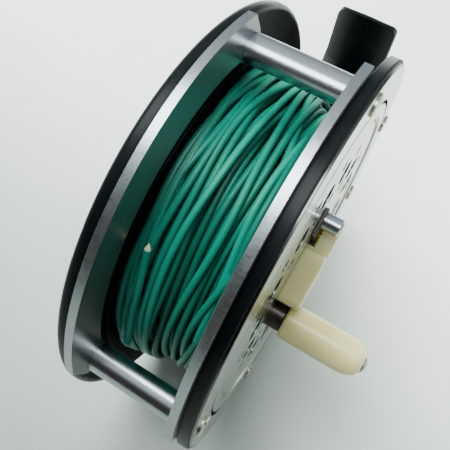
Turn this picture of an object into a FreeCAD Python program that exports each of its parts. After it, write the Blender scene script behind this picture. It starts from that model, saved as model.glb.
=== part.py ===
# Fly reel: a frame of back plate, pillars and front rings, a spool with its line on a fixed
# spindle, a click mechanism, a spool latch, a crank handle and a foot that lies along the rod.
# The spindle axis is Y: the back plate's outer face is at Y = 0 and the handle side is at -Y.
# The foot is at +X and Z is up.  Millimetres and degrees.
# Pieces are modelled in a local frame: x to the foot, y up, z along the spindle from the outer
# face of the back plate to the handle side.
import FreeCAD, Part
import os
import math
import Sketcher

Vector = FreeCAD.Vector
Placement = FreeCAD.Placement
Rotation = FreeCAD.Rotation

# "ring" is a pitch radius, "level" a local z, "tall", "thick" and "long" are lengths
DIMENSIONS = dict(
    # back plate and the raised crescents above it
    plate_radius=40.6, plate_thick=2.8, plate_round=1.2,
    crescent_outer=41.6, crescent_inner=34.8, crescent_from=76.0, crescent_to=172.0,
    rear_crescent_thick=1.45, front_crescent_thick=1.42,
    lobe_radius=3.0, lobe_ring=36.8, lobe_upper_angle=75.9, lobe_lower_angle=176.4,
    # front rings
    inside_width=20.05, ring_radius=40.0, front_ring_bore=33.4, front_ring_thick=1.9,
    trim_radius=39.4, trim_bore=33.3, trim_thick=0.42,
    # pillars and their screws
    pillar_ring=36.3, raised_radius=2.5, pillar_radius=2.2,
    screw_shank=1.0, screw_clear=1.05, screw_head=1.9, screw_head_tall=0.6,
    screw_depth=4.2, tap_extra=0.3,
    # spindle
    spindle_radius=2.5, spindle_base=7.5, spindle_base_thick=0.8, spindle_root=4.0,
    groove_radius=1.8, groove_top_level=26.05, spindle_tip_level=27.2,
    base_screw_radius=0.7, base_screw_ring=5.7,
    # spool
    arbor_radius=9.0, bush_outer=4.0, bush_bore=2.55, bush_long=3.2,
    flange_radius=32.7, flange_level=3.1, flange_thick=0.8, dish_radius=16.0, dish_level=6.0,
    face_radius=32.6, face_level=23.7, face_thick=1.2, face_bore=2.7,
    rim_inner=30.2, rim_tall=0.3, hole_count=14.0,
    big_hole=2.5, big_ring=19.9, small_hole=1.2, outer_ring=23.4, inner_ring=16.3,
    face_screw_ring=6.6, face_screw_shank=0.8, face_screw_head=1.35,
    line_radius=29.8, backing_radius=21.0, line_gap=0.05,
    # ratchet gear and click mechanism
    gear_tip=6.6, gear_root=5.7, gear_bore=2.7, gear_level=3.4, gear_top=6.0, gear_teeth=24.0,
    rivet_ring=4.85, rivet_radius=0.5,
    pawl_ring=11.5, pawl_post=1.0, pawl_bore=1.05, pawl_hub=1.9, pawl_stem=0.8,
    leaf_outer=14.5, leaf_inner=14.2, spring_screw_ring=13.35, spring_screw_stem=0.6,
    stem_long=1.4,
    # handle
    handle_reach=11.6, handle_long=16.3, handle_pin_radius=1.2, handle_bore=1.26,
    ferrule_radius=2.8, ferrule_tall=2.8, knob_radius=3.72,
    # hub cover and latch, laid out along face_angle on the spool face
    face_angle=28.82, cover_from=-8.6, cover_step=2.5, cover_to=10.0, cover_half=6.6,
    neck_half=3.1, cover_tall=4.3, cover_screw_shank=0.6, cover_screw_head=1.05,
    latch_thick=0.6, latch_level=24.97, latch_travel=2.3,
    button_radius=1.75, button_along=8.3, button_across=6.4, button_top_level=29.1,
    # foot
    foot_width=14.8, foot_end_width=13.6, foot_upper=18.6, foot_lower=-29.4, foot_middle=-5.4,
    foot_centre_level=11.7, foot_thick=2.0, foot_end_thick=0.9, foot_under=47.4,
    saddle_radius=8.8, bridge_top=44.5, bridge_bore=33.3, bridge_width=6.6,
    foot_screw_spacing=11.0, foot_screw_shank=1.2, foot_screw_head=2.2,
)


# ---------------------------------------------------------------- values
class Value:
    """A number together with the spreadsheet expression that gives it."""

    def __init__(self, number, text):
        self.number = float(number)
        self.text = text

    def __add__(self, other):
        other = as_value(other)
        return Value(self.number + other.number, "(%s + %s)" % (self.text, other.text))

    def __sub__(self, other):
        other = as_value(other)
        return Value(self.number - other.number, "(%s - %s)" % (self.text, other.text))

    def __mul__(self, other):
        other = as_value(other)
        return Value(self.number * other.number, "(%s * %s)" % (self.text, other.text))

    def __neg__(self):
        return Value(-self.number, "(0 - %s)" % self.text)


def as_value(value):
    return value if isinstance(value, Value) else Value(value, "(%.6f)" % value)


def number(value):
    return value.number if isinstance(value, Value) else float(value)


class dim:
    """The driving dimensions as attributes, each a Value."""


doc = FreeCAD.newDocument("fly_reel")
sheet = doc.addObject("Spreadsheet::Sheet", "dims")
for row, (dim_name, size) in enumerate(DIMENSIONS.items(), start=1):
    sheet.set("A%d" % row, dim_name)
    sheet.set("B%d" % row, "%g" % size)
    sheet.setAlias("B%d" % row, dim_name)
    setattr(dim, dim_name, Value(size, "dims." + dim_name))
doc.recompute()


def bind(obj, prop, value):
    setattr(obj, prop, number(value))
    if isinstance(value, Value):
        obj.setExpression(prop, value.text)


def cos_sin(degrees):
    degrees = as_value(degrees)
    turn = math.radians(degrees.number)
    return (Value(math.cos(turn), "cos(%s * 1 deg)" % degrees.text),
            Value(math.sin(turn), "sin(%s * 1 deg)" % degrees.text))


def on_ring(ring, angles):
    # points on a pitch circle
    spots = []
    for angle in angles:
        cosine, sine = cos_sin(angle)
        spots.append((ring * cosine, ring * sine))
    return spots


def rotated(reach, across, degrees):
    # the point reach out along a direction and across it, turned left
    reach, across = as_value(reach), as_value(across)
    cosine, sine = cos_sin(degrees)
    return reach * cosine - across * sine, reach * sine + across * cosine


def on_face(reach, across):
    # reach runs on the spool face from the handle towards the latch
    return rotated(reach, across, dim.face_angle)


# ---------------------------------------------------------------- shared levels and places
PLATE_IN = dim.plate_thick
REAR_CRESCENT_TOP = PLATE_IN + dim.rear_crescent_thick
RING_REAR = PLATE_IN + dim.inside_width
FRONT_CRESCENT_REAR = RING_REAR - dim.front_crescent_thick
RING_FRONT = RING_REAR + dim.front_ring_thick
TRIM_FRONT = RING_FRONT + dim.trim_thick
FLANGE_TOP = dim.flange_level + dim.flange_thick
DISH_TOP = dim.dish_level + dim.flange_thick
FACE_TOP = dim.face_level + dim.face_thick
COVER_TOP = FACE_TOP + dim.cover_tall
LATCH_TOP = dim.latch_level + dim.latch_thick
BRIDGE_REAR = dim.foot_centre_level - dim.bridge_width * 0.5
FOOT_SEAT = dim.foot_under + 0.8        # local x of the undersides of the foot screw heads

ORIGIN = (0.0, 0.0)
RAISED_SPOTS = on_ring(dim.pillar_ring, (75.7, 176.6))
PLAIN_SPOTS = on_ring(dim.pillar_ring, (9.0, -27.0, -70.0, -114.0))
PILLAR_SPOTS = RAISED_SPOTS + PLAIN_SPOTS
BASE_SCREW_SPOTS = on_ring(dim.base_screw_ring, (30.0, 150.0, 270.0))
RIVET_SPOTS = on_ring(dim.rivet_ring, (0.0, 120.0, 240.0))
FACE_SCREW_SPOTS = on_ring(dim.face_screw_ring,
                           [dim.face_angle + 45.0 + 90.0 * k for k in range(4)])
COVER_SCREW_SPOTS = [on_face(-6.6, 4.4), on_face(-6.6, -4.4), on_face(0.8, -5.2)]
HANDLE_SPOT = on_face(-dim.handle_reach, 0.0)
RIGHT_PAWL_ANGLE = 60.0
LEFT_PAWL_ANGLE = 120.0
PAWL_SPOTS = on_ring(dim.pawl_ring, (RIGHT_PAWL_ANGLE, LEFT_PAWL_ANGLE))
SPRING_SCREW_SPOT = (0.0, dim.spring_screw_ring)
# (local y, local z) on the outward face of the bridge
FOOT_SCREW_SPOTS = [(dim.foot_middle + dim.foot_screw_spacing * k, dim.foot_centre_level)
                    for k in (-0.5, 0.5)]

# local frame to reel frame: z along the spindle becomes -Y
AXIAL_TURN = Rotation(Vector(1, 0, 0), 90)
PARTS = {}          # label -> object of every finished piece


# ---------------------------------------------------------------- sketches
def finish(label, obj):
    obj.Label = label
    obj.Placement = Placement(Vector(0, 0, 0), AXIAL_TURN)
    PARTS[label] = obj
    return obj


def new_body(label):
    return finish(label, doc.addObject("PartDesign::Body", label))


def new_sketch(body, name, role="XY_Plane", level=0.0, shift_x=0.0):
    sketch = body.newObject("Sketcher::SketchObject", name)
    plane = next(f for f in body.Origin.OriginFeatures if f.Role == role)
    sketch.AttachmentSupport = [(plane, "")]
    sketch.MapMode = "FlatFace"
    sketch.AttachmentOffset = Placement(Vector(number(shift_x), 0, number(level)), Rotation())
    for axis, value in (("x", shift_x), ("z", level)):
        if isinstance(value, Value):
            sketch.setExpression("AttachmentOffset.Base." + axis, value.text)
    return sketch


def constrain(sketch, *terms):
    return sketch.addConstraint(Sketcher.Constraint(*terms))


def measure(sketch, value, *terms):
    index = constrain(sketch, *terms, number(value))
    if isinstance(value, Value):
        sketch.setExpression("Constraints[%d]" % index, value.text)


def pin(sketch, geometry, point, x, y):
    # ties one point of a sketch to its coordinates; -1 and -2 are the sketch axes
    for kind, value, axis in (("DistanceX", x, -2), ("DistanceY", y, -1)):
        if abs(number(value)) < 1e-9 and not isinstance(value, Value):
            constrain(sketch, "PointOnObject", geometry, point, axis)
        else:
            measure(sketch, value, kind, -1, 1, geometry, point)


def circle(sketch, radius, x=0.0, y=0.0):
    centre = Vector(number(x), number(y), 0)
    curve = Part.Circle(centre, Vector(0, 0, 1), number(radius))
    geometry = sketch.addGeometry(curve, False)
    measure(sketch, radius, "Radius", geometry)
    if number(x) == 0 and number(y) == 0:
        constrain(sketch, "Coincident", geometry, 3, -1, 1)
    else:
        pin(sketch, geometry, 3, x, y)


def circles(sketch, radius, spots):
    for spot in spots:
        circle(sketch, radius, *spot)


def line(sketch, start, end):
    ends = [Vector(number(x), number(y), 0) for x, y in (start, end)]
    return sketch.addGeometry(Part.LineSegment(*ends), False)


def polygon(sketch, points):
    count = len(points)
    sides = [line(sketch, points[i], points[(i + 1) % count]) for i in range(count)]
    for i in range(count):
        constrain(sketch, "Coincident", sides[i], 2, sides[(i + 1) % count], 1)
    for side, (x, y) in zip(sides, points):
        pin(sketch, side, 1, x, y)


def arc_band(sketch, outer, inner, start, end):
    # band between two arcs about the origin, closed by radial lines
    start, end = math.radians(start), math.radians(end)
    arcs = []
    for radius in (outer, inner):
        whole = Part.Circle(Vector(0, 0, 0), Vector(0, 0, 1), number(radius))
        arcs.append(sketch.addGeometry(Part.ArcOfCircle(whole, start, end), False))
    closers = []
    for turn in (start, end):
        cosine, sine = math.cos(turn), math.sin(turn)
        closers.append(line(sketch, (number(inner) * cosine, number(inner) * sine),
                            (number(outer) * cosine, number(outer) * sine)))
    for arc in arcs:
        constrain(sketch, "Coincident", arc, 3, -1, 1)
    for arc, radius in zip(arcs, (outer, inner)):
        measure(sketch, radius, "Radius", arc)
    for end_point, closer in enumerate(closers, start=1):
        constrain(sketch, "Coincident", closer, 1, arcs[1], end_point)
        constrain(sketch, "Coincident", closer, 2, arcs[0], end_point)


# ---------------------------------------------------------------- body features
def sketched(body, kind, name, sketch):
    feature = body.newObject("PartDesign::" + kind, name)
    feature.Profile = sketch
    sketch.Visibility = False
    return feature


def pad(body, sketch, length, name="pad"):
    feature = sketched(body, "Pad", name, sketch)
    bind(feature, "Length", length)
    return feature


def pad_circle(body, sketch_name, name, length, radius, spot=ORIGIN, level=0.0, bore=None):
    sketch = new_sketch(body, sketch_name, level=level)
    circle(sketch, radius, *spot)
    if bore is not None:
        circle(sketch, bore, *spot)
    return pad(body, sketch, length, name)


def pad_outline(body, sketch_name, name, length, points, level):
    sketch = new_sketch(body, sketch_name, level=level)
    polygon(sketch, points)
    return pad(body, sketch, length, name)


def volume(body):
    doc.recompute()
    return body.Shape.Volume


def require_removal(body, feature, before):
    if not volume(body) < before - 1e-4:
        raise RuntimeError("%s of %s removed nothing" % (feature.Name, body.Label))


def pocket(body, sketch, name, depth=None, reverse=False):
    # no depth cuts through everything; reverse cuts towards the sketch normal
    before = volume(body)
    feature = sketched(body, "Pocket", name, sketch)
    if depth is None:
        feature.Type = "ThroughAll"
        feature.Midplane = True
    else:
        bind(feature, "Length", depth)
    feature.Reversed = reverse
    require_removal(body, feature, before)
    return feature


def drill(body, sketch_name, name, radius, spots, depth=None, reverse=False,
          role="XY_Plane", level=0.0):
    sketch = new_sketch(body, sketch_name, role, level)
    circles(sketch, radius, spots)
    return pocket(body, sketch, name, depth, reverse)


def repeat_around(body, feature, count, name):
    before = volume(body)
    pattern = body.newObject("PartDesign::PolarPattern", name)
    pattern.Originals = [feature]
    pattern.Axis = (feature.Profile[0], ["N_Axis"])
    pattern.Angle = 360
    pattern.Occurrences = int(number(count))
    pattern.setExpression("Occurrences", count.text)
    body.Tip = pattern
    require_removal(body, pattern, before)


def revolve(body, sketch, name, angle):
    feature = sketched(body, "Revolution", name, sketch)
    feature.ReferenceAxis = (sketch, ["V_Axis"])
    feature.Angle = angle
    return feature


def turned(label, profile):
    # a piece turned about local z from its (radius, level) profile
    body = new_body(label)
    sketch = new_sketch(body, "turned_profile", "XZ_Plane")
    polygon(sketch, profile)
    revolve(body, sketch, "turned", 360)
    return body


def pick_edges(body, base, wanted):
    doc.recompute()
    picked = ["Edge%d" % i for i, edge in enumerate(base.Shape.Edges, start=1) if wanted(edge)]
    if not picked:
        raise RuntimeError("no edges to dress on " + body.Label)
    return base, picked


def round_edges(body, base, radius, wanted):
    selection = pick_edges(body, base, wanted)
    feature = body.newObject("PartDesign::Fillet", "rounds")
    feature.Base = selection
    bind(feature, "Radius", radius)


def rim(radii, level=None):
    # selects circular edges of these radii, at this level if one is given
    def wanted(edge):
        curve = getattr(edge, "Curve", None)
        if not isinstance(curve, Part.Circle):
            return False
        if all(abs(curve.Radius - number(radius)) > 1e-4 for radius in radii):
            return False
        return level is None or abs(curve.Center.z - number(level)) < 1e-4
    return wanted


# ---------------------------------------------------------------- solids outside bodies
def primitive(kind, name, **sizes):
    obj = doc.addObject("Part::" + kind, name)
    for prop, value in sizes.items():
        bind(obj, prop, value)
    return obj


def put(obj, x, y, z, turn=Rotation()):
    obj.Placement = Placement(Vector(number(x), number(y), number(z)), turn)
    for axis, value in (("x", x), ("y", y), ("z", z)):
        if isinstance(value, Value):
            obj.setExpression("Placement.Base." + axis, value.text)
    return obj


def cylinder(name, radius, height, x, y, level, turn=Rotation()):
    return put(primitive("Cylinder", name, Radius=radius, Height=height), x, y, level, turn)


def fuse(name, items):
    obj = doc.addObject("Part::MultiFuse", name)
    obj.Shapes = items
    return obj


def cut(name, base, tool):
    obj = doc.addObject("Part::Cut", name)
    obj.Base = base
    obj.Tool = tool
    return obj


def group(label, make, spots):
    # separate solids, one made at each spot, handed out as one piece
    pieces = [make(i, x, y) for i, (x, y) in enumerate(spots)]
    doc.recompute()
    compound = doc.addObject("Part::Compound", label)
    compound.Links = pieces
    finish(label, compound)


def slot_tool(name, x, y, level, turn, length, width, depth):
    # box for a screwdriver slot, centred on the screw
    box = primitive("Box", name, Length=length, Width=width, Height=depth)
    rotation = Rotation(Vector(0, 0, 1), turn)
    corner = rotation.multVec(Vector(-length / 2.0, -width / 2.0, 0))
    return put(box, x + corner.x, y + corner.y, level, rotation)


def screw(name, x, y, shank, head, slot, dome=()):
    # shank and head are (radius, height, level); slot holds slot_tool sizes
    solids = [cylinder(name + "_shank", *shank[:2], x, y, shank[2]),
              cylinder(name + "_head", *head[:2], x, y, head[2])]
    solids.extend(dome)
    return cut(name, fuse(name + "_solid", solids), slot_tool(name + "_slot", x, y, **slot))


# ---------------------------------------------------------------- frame
def back_plate():
    body = new_body("back_plate")
    disc = pad_circle(body, "disc", "pad", dim.plate_thick, dim.plate_radius)
    round_edges(body, disc, dim.plate_round, rim([dim.plate_radius]))
    drill(body, "spindle_seat", "seat", dim.spindle_base, [ORIGIN],
          depth=dim.spindle_base_thick, reverse=True)
    drill(body, "spindle_hole", "root_hole", dim.spindle_root, [ORIGIN])
    drill(body, "pillar_holes", "screw_holes", dim.screw_clear, PILLAR_SPOTS)
    drill(body, "pillar_heads", "head_seats", dim.screw_head + 0.1, PILLAR_SPOTS,
          depth=1.0, reverse=True)
    drill(body, "small_holes", "spindle_screw_holes", dim.base_screw_radius, BASE_SCREW_SPOTS,
          depth=2.2, reverse=True)
    sketch = new_sketch(body, "post_holes", level=PLATE_IN)
    circles(sketch, dim.pawl_stem, PAWL_SPOTS)
    circle(sketch, dim.spring_screw_stem, *SPRING_SCREW_SPOT)
    pocket(body, sketch, "post_seats", depth=1.5)


def web(end, lobe_angle, side):
    # straight sides from the end corners of the crescent band to the round lobe
    outer, inner = number(dim.crescent_outer), number(dim.crescent_inner)
    ring, radius = number(dim.lobe_ring), number(dim.lobe_radius)
    turn = math.radians(number(lobe_angle))
    lobe_x, lobe_y = ring * math.cos(turn), ring * math.sin(turn)
    edges = []
    for band_radius, way in ((outer, -side), (inner, side)):
        x = band_radius * math.cos(math.radians(end))
        y = band_radius * math.sin(math.radians(end))
        distance = math.hypot(x - lobe_x, y - lobe_y)
        edge = [(x, y)]
        if distance > radius:
            tangent = math.atan2(y - lobe_y, x - lobe_x) + way * math.acos(radius / distance)
            edge.append((lobe_x + radius * math.cos(tangent),
                         lobe_y + radius * math.sin(tangent)))
        edges.append(edge)
    # the last point lies inside the band, so the web overlaps it
    inside = math.radians(end + side * 1.5)
    middle = 0.5 * (outer + inner)
    return (edges[0] + [(lobe_x, lobe_y)] + edges[1][::-1]
            + [(middle * math.cos(inside), middle * math.sin(inside))])


def crescent(label, level, thick):
    body = new_body(label)
    start, end = number(dim.crescent_from), number(dim.crescent_to)
    sketch = new_sketch(body, "arc_band", level=level)
    arc_band(sketch, dim.crescent_outer, dim.crescent_inner, start, end)
    pad(body, sketch, thick, "band")
    ends = ((dim.lobe_upper_angle, start, 1), (dim.lobe_lower_angle, end, -1))
    for i, (lobe_angle, band_end, side) in enumerate(ends):
        spot = on_ring(dim.lobe_ring, [lobe_angle])[0]
        pad_circle(body, "lobe_%d" % i, "lobe_pad_%d" % i, thick, dim.lobe_radius, spot, level)
        pad_outline(body, "web_%d" % i, "web_pad_%d" % i, thick,
                    web(band_end, lobe_angle, side), level)
    drill(body, "screw_holes_sketch", "screw_holes", dim.screw_clear, RAISED_SPOTS, level=level)


def frame_ring(label, level, thick, outer, bore, rounding):
    body = new_body(label)
    annulus = pad_circle(body, "annulus", "ring_pad", thick, outer, level=level, bore=bore)
    round_edges(body, annulus, rounding, rim([outer], level + thick))
    drill(body, "holes", "screw_holes", dim.screw_clear, PILLAR_SPOTS, level=level)


def crescents_and_rings():
    crescent("rear_crescent", PLATE_IN, dim.rear_crescent_thick)
    crescent("front_crescent", FRONT_CRESCENT_REAR, dim.front_crescent_thick)
    frame_ring("front_ring", RING_REAR, dim.front_ring_thick, dim.ring_radius,
               dim.front_ring_bore, rounding=0.35)
    frame_ring("trim_ring", RING_FRONT, dim.trim_thick, dim.trim_radius, dim.trim_bore,
               rounding=0.15)


def pillar_group(label, prefix, radius, low, high, spots):
    # chamfered posts, tapped at both ends
    depth = dim.screw_depth + dim.tap_extra
    chamfer = 0.2

    def pillar(i, x, y):
        name = "%s_%d" % (prefix, i)
        rod = doc.addObject("Part::Chamfer", name + "_chamfer")
        rod.Base = cylinder(name + "_rod", radius, high - low, x, y, low)
        rod.Edges = [(edge, chamfer, chamfer) for edge in (1, 3)]     # the two end circles
        taps = [cylinder(name + "_tap_rear", dim.screw_shank, depth, x, y, low),
                cylinder(name + "_tap_front", dim.screw_shank, depth, x, y, high - depth)]
        return cut(name, rod, fuse(name + "_taps", taps))

    group(label, pillar, spots)


def pillars():
    pillar_group("raised_pillars", "raised", dim.raised_radius, REAR_CRESCENT_TOP,
                 FRONT_CRESCENT_REAR, RAISED_SPOTS)
    pillar_group("frame_pillars", "plain", dim.pillar_radius, PLATE_IN, RING_REAR, PLAIN_SPOTS)


def is_raised(i):
    return i < len(RAISED_SPOTS)


def front_pillar_screw(i, x, y):
    # low slotted head with a conical top, on the trim ring
    name = "front_screw_%d" % i
    end = (FRONT_CRESCENT_REAR if is_raised(i) else RING_REAR) - dim.screw_depth
    dome_tall = 0.22
    side_tall = dim.screw_head_tall - dome_tall
    dome = primitive("Cone", name + "_dome", Radius1=dim.screw_head,
                     Radius2=dim.screw_head - 0.35, Height=dome_tall)
    return screw(name, x, y,
                 shank=(dim.screw_shank, TRIM_FRONT - end, end),
                 head=(dim.screw_head, side_tall, TRIM_FRONT),
                 slot=dict(level=TRIM_FRONT + 0.25, turn=35.0 + 47.0 * i,
                           length=5.0, width=0.5, depth=0.6),
                 dome=[put(dome, x, y, TRIM_FRONT + side_tall)])


def rear_pillar_screw(i, x, y):
    # cheese head let into the back plate
    end = (REAR_CRESCENT_TOP if is_raised(i) else PLATE_IN) + dim.screw_depth
    shank_level = 0.5
    return screw("rear_screw_%d" % i, x, y,
                 shank=(dim.screw_shank, end - shank_level, shank_level),
                 head=(dim.screw_head, 0.95, 0.05),
                 slot=dict(level=0.0, turn=20.0 + 61.0 * i, length=5.0, width=0.5, depth=0.4))


def pillar_screws():
    group("front_pillar_screws", front_pillar_screw, PILLAR_SPOTS)
    group("rear_pillar_screws", rear_pillar_screw, PILLAR_SPOTS)


# ---------------------------------------------------------------- spindle
def spindle():
    # flush base disc, root, shaft, latch groove and head
    tip, bevel = dim.spindle_tip_level, 0.5
    body = turned("spindle", [
        (0.0, 0.0),
        (dim.spindle_base, 0.0),
        (dim.spindle_base, dim.spindle_base_thick),
        (dim.spindle_root, dim.spindle_base_thick),
        (dim.spindle_root, PLATE_IN),
        (dim.spindle_radius, PLATE_IN),
        (dim.spindle_radius, FACE_TOP),
        (dim.groove_radius, FACE_TOP),
        (dim.groove_radius, dim.groove_top_level),
        (dim.spindle_radius, dim.groove_top_level),
        (dim.spindle_radius, tip - bevel),
        (dim.spindle_radius - bevel, tip),
        (0.0, tip),
    ])
    drill(body, "base_screws", "base_screw_holes", dim.base_screw_radius, BASE_SCREW_SPOTS,
          depth=dim.spindle_base_thick, reverse=True)


def base_screw(i, x, y):
    name = "base_screw_%d" % i
    rod = cylinder(name + "_rod", dim.base_screw_radius, 2.1, x, y, level=0.03)
    slot = slot_tool(name + "_slot", x, y, level=0.0, turn=10.0 + 50.0 * i,
                     length=2.0, width=0.3, depth=0.25)
    return cut(name, rod, slot)


def spindle_screws():
    group("spindle_screws", base_screw, BASE_SCREW_SPOTS)


def tube_profile(inner, outer, low, high):
    return [(inner, low), (outer, low), (outer, high), (inner, high)]


def thrust_washer():
    outer_radius = 3.3
    turned("thrust_washer", tube_profile(dim.bush_bore, outer_radius,
                                         PLATE_IN + 0.03, dim.gear_level - 0.05))


# ---------------------------------------------------------------- click mechanism
def stem_and_pin(name, x, y, stem_radius, pin_radius, pin_long):
    # stem let into the back plate, pin standing on its inner face
    return [cylinder(name + "_stem", stem_radius, dim.stem_long, x, y, PLATE_IN - dim.stem_long),
            cylinder(name + "_pin", pin_radius, pin_long, x, y, PLATE_IN)]


def pawl_post(i, x, y):
    name = "pawl_post_%d" % i
    return fuse(name, stem_and_pin(name, x, y, dim.pawl_stem, dim.pawl_post, pin_long=2.8))


def pawl_posts():
    group("pawl_posts", pawl_post, PAWL_SPOTS)


def pawl(label, angle):
    # round hub with a nose that tapers towards the gear
    body = new_body(label)
    level = PLATE_IN + 0.55
    thick = 1.9
    root_half, nose_half = 1.85, 0.25
    nose_end = dim.gear_tip + 0.45
    spot = on_ring(dim.pawl_ring, [angle])[0]
    corners = ((dim.pawl_ring, -root_half), (nose_end, -nose_half),
               (nose_end, nose_half), (dim.pawl_ring, root_half))
    pad_circle(body, "hub", "hub_pad", thick, dim.pawl_hub, spot, level)
    pad_outline(body, "nose", "nose_pad", thick,
                [rotated(reach, across, angle) for reach, across in corners], level)
    drill(body, "bore", "pivot_bore", dim.pawl_bore, [spot], level=level)


def pawls():
    pawl("click_pawl_right", RIGHT_PAWL_ANGLE)
    pawl("click_pawl_left", LEFT_PAWL_ANGLE)


def click_spring():
    # bowed leaf outside both pawls
    body = new_body("click_spring")
    sketch = new_sketch(body, "leaf", level=PLATE_IN + 0.7)
    arc_band(sketch, dim.leaf_outer, dim.leaf_inner, start=48.0, end=132.0)
    pad(body, sketch, 1.5, "leaf_pad")


def click_spring_screw():
    x, y = SPRING_SCREW_SPOT
    solids = stem_and_pin("spring_post", x, y, dim.spring_screw_stem, 0.8, pin_long=2.6)
    core = fuse("spring_post_core", solids)
    slot = slot_tool("spring_post_slot", x, y, PLATE_IN + 2.3, turn=40.0,
                     length=3.0, width=0.3, depth=0.5)
    finish("click_spring_screw", cut("click_spring_screw", core, slot))


# ---------------------------------------------------------------- foot
def foot_bridge():
    # block between the two pillars nearest the foot
    body = new_body("foot_bridge")
    # (x, y) of the section across the spindle
    outline = [(31.5, 8.6), (36.6, 9.2), (38.6, 8.0), (41.2, 4.4),
               (dim.bridge_top, 3.6), (dim.bridge_top, -14.4), (40.6, -15.6),
               (36.6, -19.4), (34.0, -20.4), (29.8, -20.6), (28.6, -16.4)]
    pad_outline(body, "bridge_profile", "block", dim.bridge_width, outline, BRIDGE_REAR)
    sketch = new_sketch(body, "bridge_bore_sketch", level=BRIDGE_REAR)
    circle(sketch, dim.bridge_bore)
    circles(sketch, dim.pillar_radius, PLAIN_SPOTS[:2])
    pocket(body, sketch, "bores")
    drill(body, "bridge_taps", "taps", dim.foot_screw_shank, FOOT_SCREW_SPOTS,
          depth=6.4, role="YZ_Plane", level=dim.bridge_top)


def foot_end(tip, way):
    # (y, z) round one end of the foot: slightly bowed, with round corners
    half = number(dim.foot_end_width) * 0.5
    bow, corner = 2.3, 1.3
    steps = 11
    points = []
    for i in range(-steps, steps + 1):
        across = half * math.sin(math.pi / 2 * i / steps)
        into_corner = max(abs(across) - (half - corner), 0.0) / corner
        fall = (bow * (across / half) ** 2
                + corner * (1.0 - math.sqrt(max(1.0 - into_corner * into_corner, 0.0))))
        points.append((tip - way * fall, across))
    return points


def foot_plan():
    # (y, z) outline seen along x: wide middle, narrower ends
    half, end_half = number(dim.foot_width) * 0.5, number(dim.foot_end_width) * 0.5
    plan = [(-12.0, -half), (1.2, -half), (6.5, -end_half)]
    plan += foot_end(number(dim.foot_upper), 1)
    plan += [(6.5, end_half), (1.2, half), (-12.0, half), (-17.3, end_half)]
    plan += [(y, -z) for y, z in foot_end(number(dim.foot_lower), -1)]
    plan += [(-17.3, -end_half)]
    centre = number(dim.foot_centre_level)
    return [(y, z + centre) for y, z in plan]


def reel_foot():
    # trough-shaped saddle along the rod, on a short pedestal
    body = new_body("reel_foot")
    middle, top = dim.foot_middle, dim.foot_under + 1.6
    pedestal = [(dim.bridge_top, middle - 9.0), (top, middle - 9.8),
                (top, middle + 9.8), (dim.bridge_top, middle + 9.0)]
    pad_outline(body, "pedestal_profile", "pedestal", dim.bridge_width, pedestal, BRIDGE_REAR)

    # saddle section turned about the rod's axis
    rod_axis = dim.foot_under + dim.foot_thick + dim.saddle_radius
    inner = -dim.saddle_radius
    thick = -(dim.saddle_radius + dim.foot_thick)
    thin = -(dim.saddle_radius + dim.foot_end_thick)
    sketch = new_sketch(body, "saddle_profile", level=dim.foot_centre_level, shift_x=rod_axis)
    polygon(sketch, [(inner, dim.foot_lower), (thin, dim.foot_lower), (thick, -17.0),
                     (thick, 5.0), (thin, dim.foot_upper), (inner, dim.foot_upper)])
    saddle = revolve(body, sketch, "saddle", 134)
    saddle.Midplane = True

    # trim to the plan outline: the pocket removes all between it and a larger rectangle
    sketch = new_sketch(body, "plan_outline", "YZ_Plane", dim.bridge_top)
    polygon(sketch, [(-40.0, -10.0), (40.0, -10.0), (40.0, 40.0), (-40.0, 40.0)])
    polygon(sketch, foot_plan())
    pocket(body, sketch, "plan_trim")
    drill(body, "screw_bores", "screw_clear", dim.foot_screw_shank + 0.05, FOOT_SCREW_SPOTS,
          role="YZ_Plane", level=dim.bridge_top)
    drill(body, "screw_seats", "head_seats", dim.foot_screw_head + 0.1, FOOT_SCREW_SPOTS,
          depth=6.0, reverse=True, role="YZ_Plane", level=FOOT_SEAT)


def foot_screw(i, y, z):
    # lies along x with its head outward
    name = "foot_screw_%d" % i
    along_x = Rotation(Vector(0, 1, 0), 90)
    end, head_tall = 38.4, 0.9
    slot_width, slot_long = 0.5, 6.0
    shank = cylinder(name + "_shank", dim.foot_screw_shank, dim.foot_under + 0.9 - end,
                     end, y, z, along_x)
    head = cylinder(name + "_head", dim.foot_screw_head, head_tall, FOOT_SEAT, y, z, along_x)
    slot = primitive("Box", name + "_slot", Length=1.0, Width=slot_width, Height=slot_long)
    put(slot, FOOT_SEAT + 0.5, y - slot_width / 2, z - slot_long / 2)
    return cut(name, fuse(name + "_solid", [shank, head]), slot)


def foot_screws():
    group("foot_screws", foot_screw, FOOT_SCREW_SPOTS)


# ---------------------------------------------------------------- spool
def spool_arbor():
    body = turned("spool_arbor", tube_profile(dim.bush_outer, dim.arbor_radius,
                                              DISH_TOP, dim.face_level))
    drill(body, "face_taps", "tapped", dim.face_screw_shank, FACE_SCREW_SPOTS,
          depth=4.0, level=dim.face_level)


def spool_rear_flange():
    # thin flange whose middle is dished towards the front
    step = dim.dish_radius + dim.flange_thick
    body = turned("spool_rear_flange", [
        (dim.bush_outer, dim.dish_level),
        (dim.dish_radius, dim.dish_level),
        (dim.dish_radius, dim.flange_level),
        (dim.flange_radius, dim.flange_level),
        (dim.flange_radius, FLANGE_TOP),
        (step, FLANGE_TOP),
        (step, DISH_TOP),
        (dim.bush_outer, DISH_TOP),
    ])
    drill(body, "rivet_holes", "rivet_bores", dim.rivet_radius, RIVET_SPOTS,
          level=dim.dish_level)


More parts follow.
